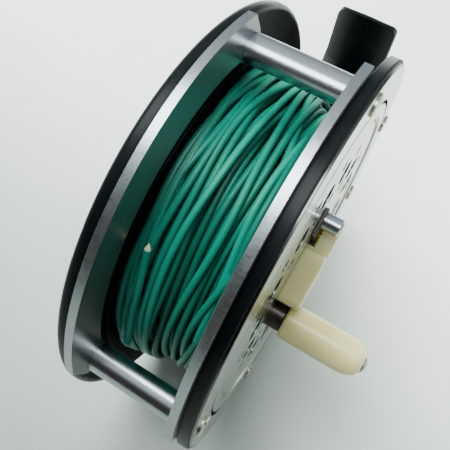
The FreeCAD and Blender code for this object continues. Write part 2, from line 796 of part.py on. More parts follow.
def spool_face():
    body = new_body("spool_face")
    pad_circle(body, "face_disc", "face_pad", dim.face_thick, dim.face_radius,
               level=dim.face_level, bore=dim.face_bore)
    band = pad_circle(body, "rim_band", "rim_pad", dim.rim_tall, dim.face_radius,
                      level=FACE_TOP, bore=dim.rim_inner)
    round_edges(body, band, 0.14, rim([dim.face_radius, dim.rim_inner], FACE_TOP + dim.rim_tall))
    groove = new_sketch(body, "turned_groove", level=FACE_TOP)
    circle(groove, 29.6)
    circle(groove, 29.0)
    pocket(body, groove, "groove", depth=0.3)

    # three rings of holes; the small ones sit between the big ones
    big_angle = 8.0
    small_angle = big_angle + 360.0 / number(dim.hole_count) / 2
    for name, radius, ring, angle in (("big", dim.big_hole, dim.big_ring, big_angle),
                                      ("outer", dim.small_hole, dim.outer_ring, small_angle),
                                      ("inner", dim.small_hole, dim.inner_ring, small_angle)):
        hole = drill(body, name + "_hole_sketch", name + "_hole", radius,
                     on_ring(ring, [angle]), level=dim.face_level)
        repeat_around(body, hole, dim.hole_count, name + "_holes")

    fixings = new_sketch(body, "fixing_holes", level=dim.face_level)
    circles(fixings, dim.face_screw_shank + 0.05, FACE_SCREW_SPOTS)
    circle(fixings, dim.handle_pin_radius, *HANDLE_SPOT)
    circles(fixings, dim.cover_screw_shank, COVER_SCREW_SPOTS)
    pocket(body, fixings, "fixing_bores")
    drill(body, "fixing_heads", "head_seats", dim.face_screw_head + 0.05, FACE_SCREW_SPOTS,
          depth=0.6, level=FACE_TOP)


def face_screw(i, x, y):
    return screw("face_screw_%d" % i, x, y,
                 shank=(dim.face_screw_shank, 4.6, dim.face_level - 3.9),
                 head=(dim.face_screw_head, 0.55, FACE_TOP - 0.6),
                 slot=dict(level=FACE_TOP - 0.3, turn=25.0 + 40.0 * i,
                           length=3.5, width=0.35, depth=0.5))


def face_screws():
    group("face_screws", face_screw, FACE_SCREW_SPOTS)


def spool_bushes():
    levels = (dim.dish_level, dim.face_level - dim.bush_long)

    def bush(i, x, y):
        name = "bush_%d" % i
        outer = cylinder(name + "_outer", dim.bush_outer, dim.bush_long, x, y, levels[i])
        bore = cylinder(name + "_bore", dim.bush_bore, dim.bush_long, x, y, levels[i])
        return cut(name, outer, bore)

    group("spool_bushes", bush, [ORIGIN] * len(levels))


def ratchet_gear():
    # symmetrical pointed teeth
    body = new_body("ratchet_gear")
    teeth = int(number(dim.gear_teeth))
    outline = []
    for i in range(teeth):
        for part, radius in ((0.0, number(dim.gear_root)), (0.5, number(dim.gear_tip))):
            turn = 2 * math.pi * (i + part) / teeth
            outline.append((radius * math.cos(turn), radius * math.sin(turn)))
    sketch = new_sketch(body, "tooth_outline", level=dim.gear_level)
    polygon(sketch, outline)
    circle(sketch, dim.gear_bore)
    pad(body, sketch, dim.gear_top - dim.gear_level, "gear_pad")
    drill(body, "rivet_holes", "rivet_bores", dim.rivet_radius, RIVET_SPOTS,
          level=dim.gear_level)


def ratchet_rivet(i, x, y):
    name = "ratchet_rivet_%d" % i
    head_radius, head_tall = 0.75, 0.25
    return fuse(name, [
        cylinder(name + "_pin", dim.rivet_radius, DISH_TOP - dim.gear_level,
                 x, y, dim.gear_level),
        cylinder(name + "_head", head_radius, head_tall, x, y, dim.gear_level - head_tall)])


def ratchet_rivets():
    group("ratchet_rivets", ratchet_rivet, RIVET_SPOTS)


def wound_line():
    # backing on the arbor, fly line over it
    gap = dim.line_gap
    low, high = FLANGE_TOP + gap, dim.face_level - gap
    arbor = dim.arbor_radius + gap
    step = dim.dish_radius + dim.flange_thick + gap
    turned("line_backing", [(arbor, DISH_TOP + gap), (step, DISH_TOP + gap), (step, low),
                            (dim.backing_radius, low), (dim.backing_radius, high),
                            (arbor, high)])
    turned("fly_line", tube_profile(dim.backing_radius + gap, dim.line_radius, low, high))


# ---------------------------------------------------------------- hub cover and latch
def cover_outline():
    # (along, across) on the spool face: wide body and narrow neck, corners cut in two steps
    start, step, end = dim.cover_from, dim.cover_step, dim.cover_to
    wide, neck = -dim.cover_half, -dim.neck_half
    corner = 1.1
    inset = corner * 0.3
    lower = [(start, wide + corner), (start + inset, wide + inset), (start + corner, wide),
             (step - corner, wide), (step - inset, wide + inset), (step, wide + corner),
             (step, neck),
             (end - corner, neck), (end - inset, neck + inset), (end, neck + corner)]
    return lower + [(reach, -across) for reach, across in reversed(lower)]


def hub_cover():
    body = new_body("hub_cover")
    block = pad_outline(body, "cover_outline", "cover_pad", dim.cover_tall,
                        [on_face(*point) for point in cover_outline()], FACE_TOP)
    top = number(COVER_TOP)
    round_edges(body, block, 0.5, lambda edge: abs(edge.BoundBox.ZMin - top) < 1e-4
                and abs(edge.BoundBox.ZMax - top) < 1e-4)
    drill(body, "knob_relief", "relief", dim.knob_radius + 0.28, [HANDLE_SPOT], level=FACE_TOP)
    # room for the latch: (along, across) of two opposite corners
    for sketch_name, name, (left, low), (right, high) in (
            ("latch_channel", "channel", (-6.0, -2.6), (9.2, 2.6)),
            ("tab_exit", "exit", (3.2, 2.5), (9.2, 4.5))):
        sketch = new_sketch(body, sketch_name, level=FACE_TOP)
        corners = ((left, low), (right, low), (right, high), (left, high))
        polygon(sketch, [on_face(*corner) for corner in corners])
        pocket(body, sketch, name, depth=1.2, reverse=True)
    drill(body, "tip_room", "tip_pocket", 3.3, [ORIGIN], depth=2.9, reverse=True,
          level=FACE_TOP)
    drill(body, "cover_screw_bores", "screw_bores", dim.cover_screw_shank + 0.02,
          COVER_SCREW_SPOTS, level=FACE_TOP)
    drill(body, "cover_screw_seats", "screw_seats", dim.cover_screw_head + 0.05,
          COVER_SCREW_SPOTS, depth=0.8, level=COVER_TOP)


def cover_screw(i, x, y):
    sunk = 0.8
    return screw("cover_screw_%d" % i, x, y,
                 shank=(dim.cover_screw_shank, dim.cover_tall + dim.face_thick - sunk,
                        dim.face_level),
                 head=(dim.cover_screw_head, 0.7, COVER_TOP - sunk),
                 slot=dict(level=COVER_TOP - 0.4, turn=15.0 + 55.0 * i,
                           length=3.0, width=0.3, depth=0.5))


def cover_screws():
    group("cover_screws", cover_screw, COVER_SCREW_SPOTS)


def latch_plate():
    # plate with a side tab and a keyhole round the spindle groove
    body = new_body("latch_plate")
    # (along, across) on the spool face
    outline = [(-5.4, -2.4), (5.6, -2.4), (5.6, 2.9), (10.4, 4.3),
               (10.4, 8.4), (4.7, 8.4), (3.8, 2.4), (-5.4, 2.4)]
    pad_outline(body, "latch_outline", "latch_pad", dim.latch_thick,
                [on_face(*point) for point in outline], dim.latch_level)
    for sketch_name, name, radius, spot in (
            ("key_small", "narrow_end", 2.0, ORIGIN),
            ("key_large", "middle", 2.15, on_face(-1.2, 0.0)),
            ("key_wide", "wide_end", 2.1, on_face(-dim.latch_travel, 0.0))):
        drill(body, sketch_name, name, radius, [spot], level=dim.latch_level)


def latch_button():
    body = new_body("latch_button")
    top = dim.button_top_level
    button = pad_circle(body, "button_round", "button_pad", top - LATCH_TOP, dim.button_radius,
                        on_face(dim.button_along, dim.button_across), LATCH_TOP)
    selection = pick_edges(body, button, rim([dim.button_radius], top))
    chamfer = body.newObject("PartDesign::Chamfer", "button_edge")
    chamfer.Base = selection
    chamfer.Size = 0.35


def latch_spring():
    # fine coil lying along the latch plate
    pitch, length, coil_radius, wire_radius = 0.85, 3.3, 0.36, 0.09
    helix = Part.makeHelix(pitch, length, coil_radius)
    section = Part.makeCircle(wire_radius, Vector(coil_radius, 0, 0), Vector(0, 1, 0.3))
    coil = Part.Wire(helix).makePipeShell([Part.Wire(section)], True, True)
    start = Vector(5.75, -0.6, number(dim.latch_level) + 0.5)
    lying = Placement(start, Rotation(Vector(0, 1, 0), 90))
    to_face = Placement(Vector(0, 0, 0), Rotation(Vector(0, 0, 1), number(dim.face_angle)))
    spring = doc.addObject("Part::Feature", "latch_spring")
    spring.Shape = coil.transformGeometry(to_face.multiply(lying).toMatrix())
    finish("latch_spring", spring)


# ---------------------------------------------------------------- handle
# (share of the knob's length, how far the surface lies below the knob radius)
KNOB_STATIONS = [
    (0.12, 0.03), (0.35, 0.0), (0.60, 0.0), (0.74, 0.05), (0.82, 0.14),
    (0.88, 0.32), (0.925, 0.58), (0.955, 0.87), (0.98, 1.25), (1.0, 1.75),
]
# (radius, height above the end of the knob)
RIVET_PROFILE = [(0.0, 0.05), (1.65, 0.05), (1.6, 0.35), (1.3, 0.65), (0.8, 0.85), (0.0, 0.92)]


def turned_on_face(label, profile):
    # a turned piece standing on the spool face at the handle's place
    x, y = HANDLE_SPOT
    put(turned(label, profile), x, 0.0, y, AXIAL_TURN)


def handle():
    # ferrule, pin, knob and the domed rivet end of the pin
    pin_radius, bevel = dim.handle_pin_radius, 0.25
    ferrule_top = FACE_TOP + dim.ferrule_tall
    knob_low = ferrule_top + 0.05
    knob_top = knob_low + dim.handle_long
    turned_on_face("handle_ferrule", [
        (pin_radius, FACE_TOP),
        (dim.ferrule_radius, FACE_TOP),
        (dim.ferrule_radius, ferrule_top - bevel),
        (dim.ferrule_radius - bevel, ferrule_top),
        (pin_radius, ferrule_top),
    ])
    turned_on_face("handle_pin", tube_profile(0.0, pin_radius, dim.face_level + 0.02,
                                              knob_top + 0.05))
    knob = [(dim.handle_bore, knob_low), (dim.knob_radius - 0.35, knob_low),
            (dim.knob_radius - 0.08, knob_low + 0.3)]
    knob += [(dim.knob_radius - below, knob_low + dim.handle_long * share)
             for share, below in KNOB_STATIONS]
    knob.append((dim.handle_bore, knob_top))
    turned_on_face("handle_knob", knob)
    turned_on_face("handle_rivet", [(radius, knob_top + above)
                                    for radius, above in RIVET_PROFILE])


# ---------------------------------------------------------------- build and export
def export_parts():
    doc.recompute()
    failed = [(obj.Label, list(obj.State)) for obj in doc.Objects
              if "Invalid" in obj.State or "Error" in obj.State]
    if failed:
        raise RuntimeError("failed objects: %s" % failed)
    for label, obj in PARTS.items():
        shape = obj.Shape
        if shape.isNull() or not shape.isValid() or not shape.Solids:
            raise RuntimeError("bad shape: " + label)
    os.makedirs("parts", exist_ok=True)
    for label, obj in PARTS.items():
        obj.Shape.exportStep("parts/%s.step" % label)


for build in (back_plate, crescents_and_rings, pillars, pillar_screws,
              spindle, spindle_screws, thrust_washer,
              pawl_posts, pawls, click_spring, click_spring_screw,
              foot_bridge, reel_foot, foot_screws,
              spool_arbor, spool_rear_flange, spool_face, face_screws, spool_bushes,
              ratchet_gear, ratchet_rivets, wound_line,
              hub_cover, cover_screws, latch_plate, latch_button, latch_spring,
              handle):
    build()
export_parts()
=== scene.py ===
"""A fly reel loaded with green line, lying on a studio floor.

The spool turns about the Y axis through the origin and the handle is on the -Y side.
A "level" is a distance in mm along -Y, so it grows from the back plate to the handle.
Shapes made here are worked out in mm and turned into metres when the mesh is built.
"""

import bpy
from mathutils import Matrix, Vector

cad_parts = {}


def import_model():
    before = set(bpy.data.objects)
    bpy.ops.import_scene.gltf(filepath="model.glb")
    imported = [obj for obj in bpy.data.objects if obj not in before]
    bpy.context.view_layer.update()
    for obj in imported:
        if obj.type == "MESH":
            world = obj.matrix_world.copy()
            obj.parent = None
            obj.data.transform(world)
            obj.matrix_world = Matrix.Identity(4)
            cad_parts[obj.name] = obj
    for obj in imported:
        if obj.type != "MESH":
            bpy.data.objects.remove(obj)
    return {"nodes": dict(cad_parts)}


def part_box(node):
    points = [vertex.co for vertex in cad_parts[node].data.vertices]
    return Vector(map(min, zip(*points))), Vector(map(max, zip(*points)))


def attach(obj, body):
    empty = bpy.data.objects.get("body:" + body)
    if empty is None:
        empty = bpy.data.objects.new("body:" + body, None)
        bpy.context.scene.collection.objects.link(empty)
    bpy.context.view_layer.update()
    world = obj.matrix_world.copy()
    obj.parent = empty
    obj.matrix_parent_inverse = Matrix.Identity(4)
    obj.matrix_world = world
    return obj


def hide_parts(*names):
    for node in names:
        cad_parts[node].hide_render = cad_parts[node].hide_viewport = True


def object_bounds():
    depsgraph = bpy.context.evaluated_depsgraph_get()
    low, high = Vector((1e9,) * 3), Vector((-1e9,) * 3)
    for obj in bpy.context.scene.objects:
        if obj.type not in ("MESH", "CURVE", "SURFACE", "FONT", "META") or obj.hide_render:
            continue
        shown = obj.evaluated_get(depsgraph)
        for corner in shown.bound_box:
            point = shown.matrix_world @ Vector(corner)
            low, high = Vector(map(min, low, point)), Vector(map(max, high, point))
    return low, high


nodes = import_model()["nodes"]

import math
import random

import bmesh
import bpy
import numpy as np
from mathutils import Matrix, Vector

CAD_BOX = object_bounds()
random.seed(7)
draw = np.random.default_rng(7)
MM = 0.001


# ------------------------------------------------------------------ shader tools
class Shader:
    """A node tree; each method adds one node and returns its output unless noted."""

    def __init__(self, tree):
        tree.nodes.clear()
        self.tree = tree

    def feed(self, socket, value):
        """Link an output to the socket, or set the socket's value."""
        if hasattr(value, "is_linked"):
            self.tree.links.new(value, socket)
        elif socket.type == "RGBA":
            socket.default_value = (*value, 1.0)
        else:
            socket.default_value = value

    def add(self, kind, inputs=None, **settings):
        """Add a node of any kind and return the node itself."""
        node = self.tree.nodes.new("ShaderNode" + kind)
        for key, value in settings.items():
            setattr(node, key, value)
        for key, value in (inputs or {}).items():
            self.feed(node.inputs[key], value)
        return node

    def ramp(self, value, stops):
        """Colour ramp; stops are (position, colour)."""
        node = self.add("ValToRGB", {0: value})
        elements = node.color_ramp.elements
        while len(elements) < len(stops):
            elements.new(0.5)
        for element, (position, color) in zip(elements, stops):
            element.position = position
            element.color = (*color, 1.0)
        return node.outputs[0]

    def map_range(self, value, source, target, **settings):
        """Map the (low, high) source range onto the target range."""
        inputs = dict(enumerate((value, *source, *target)))
        return self.add("MapRange", inputs, **settings).outputs[0]

    def mix(self, factor, first, second):
        inputs = {0: factor, 6: first, 7: second}
        return self.add("Mix", inputs, data_type="RGBA").outputs[2]

    def math(self, operation, *values):
        return self.add("Math", dict(enumerate(values)), operation=operation).outputs[0]

    def plus(self, first, second):
        return self.math("ADD", first, second)

    def minus(self, first, second):
        return self.math("SUBTRACT", first, second)

    def times(self, first, second):
        return self.math("MULTIPLY", first, second)


class Surface(Shader):
    """A material with one Principled shader, textured in object coordinates (metres)."""

    INPUTS = dict(
        color="Base Color", metallic="Metallic", rough="Roughness",
        spec="Specular IOR Level", coat="Coat Weight", coat_rough="Coat Roughness",
        sss="Subsurface Weight", sss_scale="Subsurface Scale", sss_radius="Subsurface Radius")

    def __init__(self, name):
        self.material = bpy.data.materials.new(name)
        self.material.use_nodes = True
        super().__init__(self.material.node_tree)
        output = self.add("OutputMaterial")
        self.principled = self.add("BsdfPrincipled")
        self.feed(output.inputs["Surface"], self.principled.outputs[0])
        self.coords = self.add("TexCoord").outputs["Object"]

    def set(self, **values):
        for key, value in values.items():
            self.feed(self.principled.inputs[self.INPUTS[key]], value)

    def noise(self, scale, detail, roughness=0.55, vector=None, distortion=0.0):
        return self.add("TexNoise", {
            "Scale": scale, "Detail": detail, "Roughness": roughness,
            "Distortion": distortion, "Vector": vector or self.coords}).outputs[0]

    def mapping(self, scale, rotation=(0, 0, 0)):
        inputs = {"Scale": scale, "Rotation": rotation, "Vector": self.coords}
        return self.add("Mapping", inputs).outputs[0]

    def combine(self, *values):
        return self.add("CombineXYZ", dict(enumerate(values))).outputs[0]

    def xyz(self):
        return self.add("SeparateXYZ", {0: self.coords}).outputs

    def from_axis(self):
        """X and Z distances from the Y axis."""
        x, _, z = self.xyz()
        return self.minus(x, 0.0), self.minus(z, 0.0)

    def radius(self):
        x, z = self.from_axis()
        return self.math("SQRT", self.plus(self.times(x, x), self.times(z, z)))

    def angle(self):
        x, z = self.from_axis()
        return self.math("ARCTAN2", z, x)

    def facing_y(self):
        """1 where the surface faces along Y either way, 0 where it lies along Y."""
        normal = self.add("NewGeometry").outputs["True Normal"]
        return self.math("ABSOLUTE", self.add("SeparateXYZ", {0: normal}).outputs[1])

    def bump(self, height, strength, distance, bevel=None):
        """Relief on the surface, over edges rounded to the bevel radius."""
        inputs = {"Strength": strength, "Distance": distance, "Height": height}
        if bevel is not None:
            inputs["Normal"] = self.add("Bevel", {"Radius": bevel}, samples=4).outputs[0]
        self.set_normal(self.add("Bump", inputs).outputs[0])

    def set_normal(self, normal):
        self.feed(self.principled.inputs["Normal"], normal)


def shade(color, factor):
    return tuple(factor * channel for channel in color)


# ------------------------------------------------------------------ materials
def black_enamel(name, rough, bevel):
    """Satin gloss with faint orange peel and dust."""
    m = Surface(name)
    fine = m.noise(2600, detail=2)
    cloud = m.noise(90, detail=4, roughness=0.6)
    specks = m.ramp(m.noise(5200, detail=1.0, roughness=0.5),
                    [(0.68, (0, 0, 0)), (0.80, (1, 1, 1))])
    color = m.ramp(cloud, [(0.30, (0.0016, 0.0030, 0.0036)), (0.75, (0.0042, 0.0062, 0.0068))])
    color = m.mix(m.times(specks, 0.05), color, (0.20, 0.20, 0.19))
    m.set(color=color,
          rough=m.map_range(cloud, (0.25, 0.75), (rough - 0.05, rough + 0.08)),
          spec=m.map_range(m.facing_y(), (0.80, 0.97), (0.11, 0.02)),
          coat=0.0, coat_rough=0.12)
    peel = m.times(m.noise(420, detail=2), 1.5)
    m.bump(m.plus(fine, peel), strength=0.05, distance=0.0001, bevel=bevel)
    return m.material


def crescent_metal(name):
    """Satin aluminium: smooth faces across Y, and edges with fine cross grain."""
    m = Surface(name)
    along = m.times(m.angle(), 42.0)     # arc length in mm at a radius of 42 mm
    _, y, _ = m.xyz()
    across = m.times(y, 1000.0)
    grain = m.noise(1.0, detail=4, roughness=0.75,
                    vector=m.combine(m.times(along, 5.5), m.times(across, 0.55), 0.0))
    blotch = m.noise(1.0, detail=3, roughness=0.6,
                     vector=m.combine(m.times(along, 0.55), across, 3.0))
    face = m.math("GREATER_THAN", m.facing_y(), 0.9)
    edge_color = m.ramp(grain, [(0.26, (0.34, 0.38, 0.40)), (0.66, (0.46, 0.51, 0.535))])
    # the faces are warmer between two angles (radians) round the arc
    arc = m.angle()
    middle = m.times(m.map_range(arc, (1.40, 1.62), (0.0, 1.0)),
                     m.map_range(arc, (2.45, 2.80), (1.0, 0.0)))
    face_color = m.mix(middle, (0.255, 0.265, 0.260), (0.30, 0.235, 0.25))
    color = m.mix(face, edge_color, face_color)
    edge_rough = m.plus(m.map_range(grain, (0.3, 0.7), (0.26, 0.38)),
                        m.map_range(blotch, (0.3, 0.7), (-0.04, 0.05)))
    rough = m.plus(m.times(edge_rough, m.minus(1.0, face)), m.times(face, 0.33))
    m.set(color=color, metallic=1.0, rough=rough)
    m.bump(m.times(grain, m.minus(1.0, face)), strength=0.22, distance=0.00006, bevel=0.00012)
    return m.material


def turned_metal(name, rough, tint, marks, dark_from=0.0, painted_shade_z=0.0):
    """Concentric turning marks, hairline scratches and a little tarnish.

    marks: height of the turning marks; dark_from: radius in mm where a painted dark
    edge of shade starts; last argument: how much painted shade darkens the metal towards +Z.
    """
    m = Surface(name)
    radius = m.times(m.radius(), 1000.0)
    rings = m.noise(1.0, detail=3, roughness=0.7,
                    vector=m.combine(m.times(radius, 6.0), 0.0, 0.0))
    blotch = m.noise(140, detail=4, roughness=0.6)
    scratches = m.noise(1.0, detail=2, roughness=0.6,
                        vector=m.mapping((2200, 2200, 160), rotation=(0, 0.6, 0)))
    color = m.mix(m.map_range(blotch, (0.45, 0.8), (0.0, 0.45)), tint, shade(tint, 0.62))
    # painted shade: the colour is darkened towards +Z
    if painted_shade_z:
        _, _, z = m.xyz()
        painted_shade = m.map_range(m.times(z, 1000.0), (-6.0, 34.0), (0.0, painted_shade_z))
        color = m.mix(painted_shade, color, shade(tint, 0.30))
    # painted shade: a dark band on the rim from dark_from outwards
    if dark_from:
        painted_edge_shade = m.map_range(radius, (dark_from - 0.15, dark_from + 0.15), (0.0, 0.85))
        color = m.mix(painted_edge_shade, color, (0.06, 0.065, 0.06))
    m.set(color=color, metallic=1.0,
          rough=m.plus(m.map_range(rings, (0.3, 0.7), (rough - 0.04, rough + 0.06)),
                       m.map_range(scratches, (0.5, 0.8), (0.0, 0.10))))
    m.bump(m.plus(m.times(rings, marks), m.times(scratches, 0.4)),
           strength=0.07, distance=0.00005, bevel=0.00015)
    return m.material


def rod_steel(name, rough, tint):
    """Turned steel with marks running round the Y direction."""
    m = Surface(name)
    x, y, z = m.xyz()
    marks = m.noise(1.0, detail=3, roughness=0.7, vector=m.combine(
        m.times(y, 6500.0), m.times(x, 120.0), m.times(z, 120.0)))
    blotch = m.noise(260, detail=4, roughness=0.65)
    pits = m.ramp(m.noise(3000, detail=1, roughness=0.5),
                  [(0.70, (0, 0, 0)), (0.82, (1, 1, 1))])
    color = m.mix(m.map_range(blotch, (0.5, 0.8), (0.0, 0.18)), tint, shade(tint, 0.7))
    color = m.mix(m.times(pits, 0.10), color, (0.18, 0.15, 0.12))
    m.set(color=color, metallic=1.0,
          rough=m.map_range(marks, (0.3, 0.7), (rough - 0.004, rough + 0.012)))
    m.bump(blotch, strength=0.02, distance=0.00002, bevel=0.0002)
    return m.material


def mottled_metal(name, cloud_scale, cloud_rough, dark, light, metallic, rough,
                  grain_scale, grain_strength, bevel):
    """Metal clouded from dark to light; rough is the (low, high) roughness."""
    m = Surface(name)
    cloud = m.noise(cloud_scale, detail=4, roughness=cloud_rough)
    m.set(color=m.ramp(cloud, [(0.3, dark), (0.75, light)]), metallic=metallic,
          rough=m.map_range(cloud, (0.3, 0.7), rough))
    m.bump(m.noise(grain_scale, detail=2), grain_strength, distance=0.00008, bevel=bevel)
    return m.material


def ivory_plastic(name):
    """Warm moulded plastic, cloudy and translucent, with faint flow streaks."""
    m = Surface(name)
    cloud = m.noise(120, detail=3, distortion=0.6)
    streak = m.noise(1.0, detail=3, roughness=0.6, vector=m.mapping((160, 900, 160)))
    color = m.ramp(cloud, [(0.28, (0.74, 0.67, 0.27)), (0.72, (0.84, 0.79, 0.40))])
    color = m.mix(m.map_range(streak, (0.4, 0.8), (0.0, 0.30)), color, (0.78, 0.71, 0.33))
    m.set(color=color, rough=m.map_range(cloud, (0.3, 0.7), (0.27, 0.36)), spec=0.45,
          sss=0.35, sss_scale=0.0022, sss_radius=(1.0, 0.72, 0.34), coat=0.12, coat_rough=0.2)
    swell = m.times(m.noise(160, detail=2), 1.5)
    m.bump(m.plus(m.noise(900, detail=3), swell), strength=0.05, distance=0.00012, bevel=0.0003)
    return m.material


def line_coating(name):
    """Soft green plastic, darker or paler by the "tone" attribute of the mesh."""
    m = Surface(name)
    tone = m.add("Attribute", attribute_name="tone").outputs["Fac"]
    fine = m.noise(1400, detail=3, roughness=0.6)
    cloud = m.noise(210, detail=3, roughness=0.6)
    color = m.ramp(tone, [(0.0, (0.0, 0.062, 0.041)), (0.35, (0.0, 0.120, 0.081)),
                          (0.7, (0.0, 0.195, 0.133)), (1.0, (0.002, 0.265, 0.187))])
    color = m.mix(m.map_range(cloud, (0.45, 0.75), (0.0, 0.30)), color, (0.004, 0.150, 0.105))
    m.set(color=color, rough=m.map_range(fine, (0.3, 0.7), (0.36, 0.48)), spec=0.17,
          sss=0.10, sss_scale=0.0006, sss_radius=(0.3, 1.0, 0.7), coat=0.02, coat_rough=0.2)
    m.bump(m.plus(fine, m.times(cloud, 0.8)), strength=0.05, distance=0.00008)
    return m.material


def core_thread(name):
    """Pale fibrous core at the cut end of the line."""
    m = Surface(name)
    fibres = m.noise(6000, detail=3)
    m.set(color=m.ramp(fibres, [(0.3, (0.45, 0.50, 0.30)), (0.7, (0.72, 0.74, 0.50))]), rough=0.7)
    m.bump(fibres, strength=0.3, distance=0.0001)
    return m.material


def floor_surface(name):
    """Matt floor, with painted light brightening it towards +X."""
    m = Surface(name)
    x, y, _ = m.xyz()
    # painted light: the colour ramp brightens towards +X
    slope = m.plus(m.times(x, 7.5), m.times(y, -0.5))
    tone = m.plus(m.plus(slope, 0.42), m.times(m.noise(14, detail=3), 0.16))
    m.set(color=m.ramp(tone, [(0.05, (0.26, 0.292, 0.268)), (0.45, (0.52, 0.585, 0.537)),
                              (0.85, (0.93, 0.995, 0.94))]), rough=0.6, spec=0.2)
    return m.material


# each finish with the CAD pieces that wear it
FINISHES = [
    (black_enamel("black_enamel", rough=0.30, bevel=0.0003), ["back_plate", "front_ring"]),
    (black_enamel("black_enamel_foot", rough=0.34, bevel=0.0004), ["reel_foot", "foot_bridge"]),
    (black_enamel("black_flange", rough=0.36, bevel=0.0002), ["spool_rear_flange"]),
    (crescent_metal("satin_aluminium"), ["rear_crescent", "front_crescent"]),
    (turned_metal("nickel_trim", rough=0.19, tint=(0.45, 0.48, 0.425), marks=0.6,
                  dark_from=38.9, painted_shade_z=0.30), ["trim_ring"]),
    (turned_metal("nickel_face", rough=0.18, tint=(0.43, 0.46, 0.405), marks=1.0,
                  painted_shade_z=0.55), ["spool_face"]),
    (turned_metal("nickel_screw", rough=0.3, tint=(0.50, 0.475, 0.40), marks=0.2),
     ["front_pillar_screws", "rear_pillar_screws", "spindle_screws", "face_screws",
      "cover_screws", "click_spring_screw", "handle_rivet"]),
    (rod_steel("polished_rod", rough=0.25, tint=(0.43, 0.475, 0.51)),
     ["raised_pillars", "frame_pillars", "latch_button"]),
    (rod_steel("turned_steel", rough=0.2, tint=(0.50, 0.535, 0.56)),
     ["spindle", "pawl_posts", "click_pawl_right", "click_pawl_left", "ratchet_gear",
      "handle_pin", "click_spring", "latch_spring"]),
    (turned_metal("turned_aluminium", rough=0.28, tint=(0.68, 0.70, 0.72), marks=1.2),
     ["spool_arbor"]),
    (mottled_metal("dark_steel", cloud_scale=500, cloud_rough=0.65,
                   dark=(0.012, 0.011, 0.011), light=(0.060, 0.052, 0.046),
                   metallic=0.85, rough=(0.28, 0.48),
                   grain_scale=2400, grain_strength=0.08, bevel=0.00015),
     ["latch_plate", "foot_screws"]),
    (mottled_metal("bronze_brown", cloud_scale=700, cloud_rough=0.65,
                   dark=(0.030, 0.022, 0.019), light=(0.085, 0.062, 0.052),
                   metallic=0.7, rough=(0.30, 0.46),
                   grain_scale=1800, grain_strength=0.08, bevel=0.00015),
     ["handle_ferrule"]),
    (mottled_metal("machined_brass", cloud_scale=420, cloud_rough=0.6,
                   dark=(0.45, 0.30, 0.12), light=(0.72, 0.52, 0.24),
                   metallic=1.0, rough=(0.22, 0.40),
                   grain_scale=2000, grain_strength=0.06, bevel=0.0001),
     ["thrust_washer", "spool_bushes", "ratchet_rivets"]),
    (ivory := ivory_plastic("ivory_plastic"), ["hub_cover", "handle_knob", "line_backing"]),
    (green := line_coating("green_line"), ["fly_line"]),
]
for material, names in FINISHES:
    for name in names:
        slots = nodes[name].data.materials
        slots.clear()
        slots.append(material)


# ------------------------------------------------------------------ mesh tools
def face_outward(mesh):
    bm = bmesh.new()
    bm.from_mesh(mesh)
    bmesh.ops.recalc_face_normals(bm, faces=bm.faces)
    bm.to_mesh(mesh)
    bm.free()


def shade_smooth(mesh):
    mesh.polygons.foreach_set("use_smooth", [True] * len(mesh.polygons))


def set_tone(mesh, values):
    mesh.attributes.new("tone", "FLOAT", "POINT").data.foreach_set("value", values)


def place(mesh, material):
    """Put the mesh in the scene as an object of the same name."""
    obj = bpy.data.objects.new(mesh.name, mesh)
    bpy.context.scene.collection.objects.link(obj)
    mesh.materials.append(material)
    return obj


def polar_points(angle, level, radius):
    """Points in metres, one per row, from radians and mm."""
    return np.stack([radius * np.cos(angle), -level, radius * np.sin(angle)], 1) * MM


def tube(name, points, radius, sides, material, tone=None):
    """Sweep a round section along points; radius (metres) and tone may vary."""
    count = len(points)
    radius = np.broadcast_to(np.asarray(radius, float), (count,))
    tangent = np.gradient(points, axis=0)
    tangent /= np.linalg.norm(tangent, axis=1)[:, None]
    across = np.cross(tangent, np.array([0.0, 1.0, 0.0]))
    # where the path runs nearly along Y, square the section to Z instead
    steep = np.linalg.norm(across, axis=1) < 0.2
    across[steep] = np.cross(tangent[steep], np.array([0, 0, 1.0]))
    across /= np.linalg.norm(across, axis=1)[:, None]
    for i in range(1, count):
        if np.dot(across[i], across[i - 1]) < 0:
            across[i] = -across[i]
    other = np.cross(tangent, across)
    turn = np.arange(sides) / sides * 2 * np.pi
    rings = points[:, None, :] + radius[:, None, None] * (
        np.cos(turn)[None, :, None] * across[:, None, :]
        + np.sin(turn)[None, :, None] * other[:, None, :])
    i = np.arange(count - 1)[:, None] * sides
    j = np.arange(sides)[None, :]
    j_next = (j + 1) % sides
    faces = np.stack([i + j, i + j_next, i + sides + j_next, i + sides + j], -1)
    faces = faces.reshape(-1, 4).tolist()
    faces.append(list(range(sides))[::-1])
    faces.append([(count - 1) * sides + k for k in range(sides)])
    mesh = bpy.data.meshes.new(name)
    mesh.from_pydata(rings.reshape(-1, 3).tolist(), [], faces)
    shade_smooth(mesh)
    if tone is not None:
        set_tone(mesh, np.repeat(np.asarray(tone, np.float32), sides))
    mesh.update()
    mesh.validate()
    face_outward(mesh)
    return place(mesh, material)


def lathe(name, profile, material, centre=(0.0, 0.0), segments=96, tone=None):
    """Turn a closed profile of (radius, level) about a line along Y; centre is (x, z)."""
    turn = np.arange(segments) / segments * 2 * np.pi
    verts = [((centre[0] + radius * math.cos(a)) * MM, -level * MM,
              (centre[1] + radius * math.sin(a)) * MM)
             for radius, level in np.asarray(profile, float) for a in turn]
    faces = []
    for k in range(len(profile)):
        row = k * segments
        next_row = (k + 1) % len(profile) * segments
        for s in range(segments):
            s_next = (s + 1) % segments
            faces.append((row + s, row + s_next, next_row + s_next, next_row + s))
    mesh = bpy.data.meshes.new(name)
    mesh.from_pydata(verts, [], faces)
    face_outward(mesh)
    shade_smooth(mesh)
    if tone is not None:
        set_tone(mesh, np.full(len(mesh.vertices), tone, np.float32))
    return place(mesh, material)


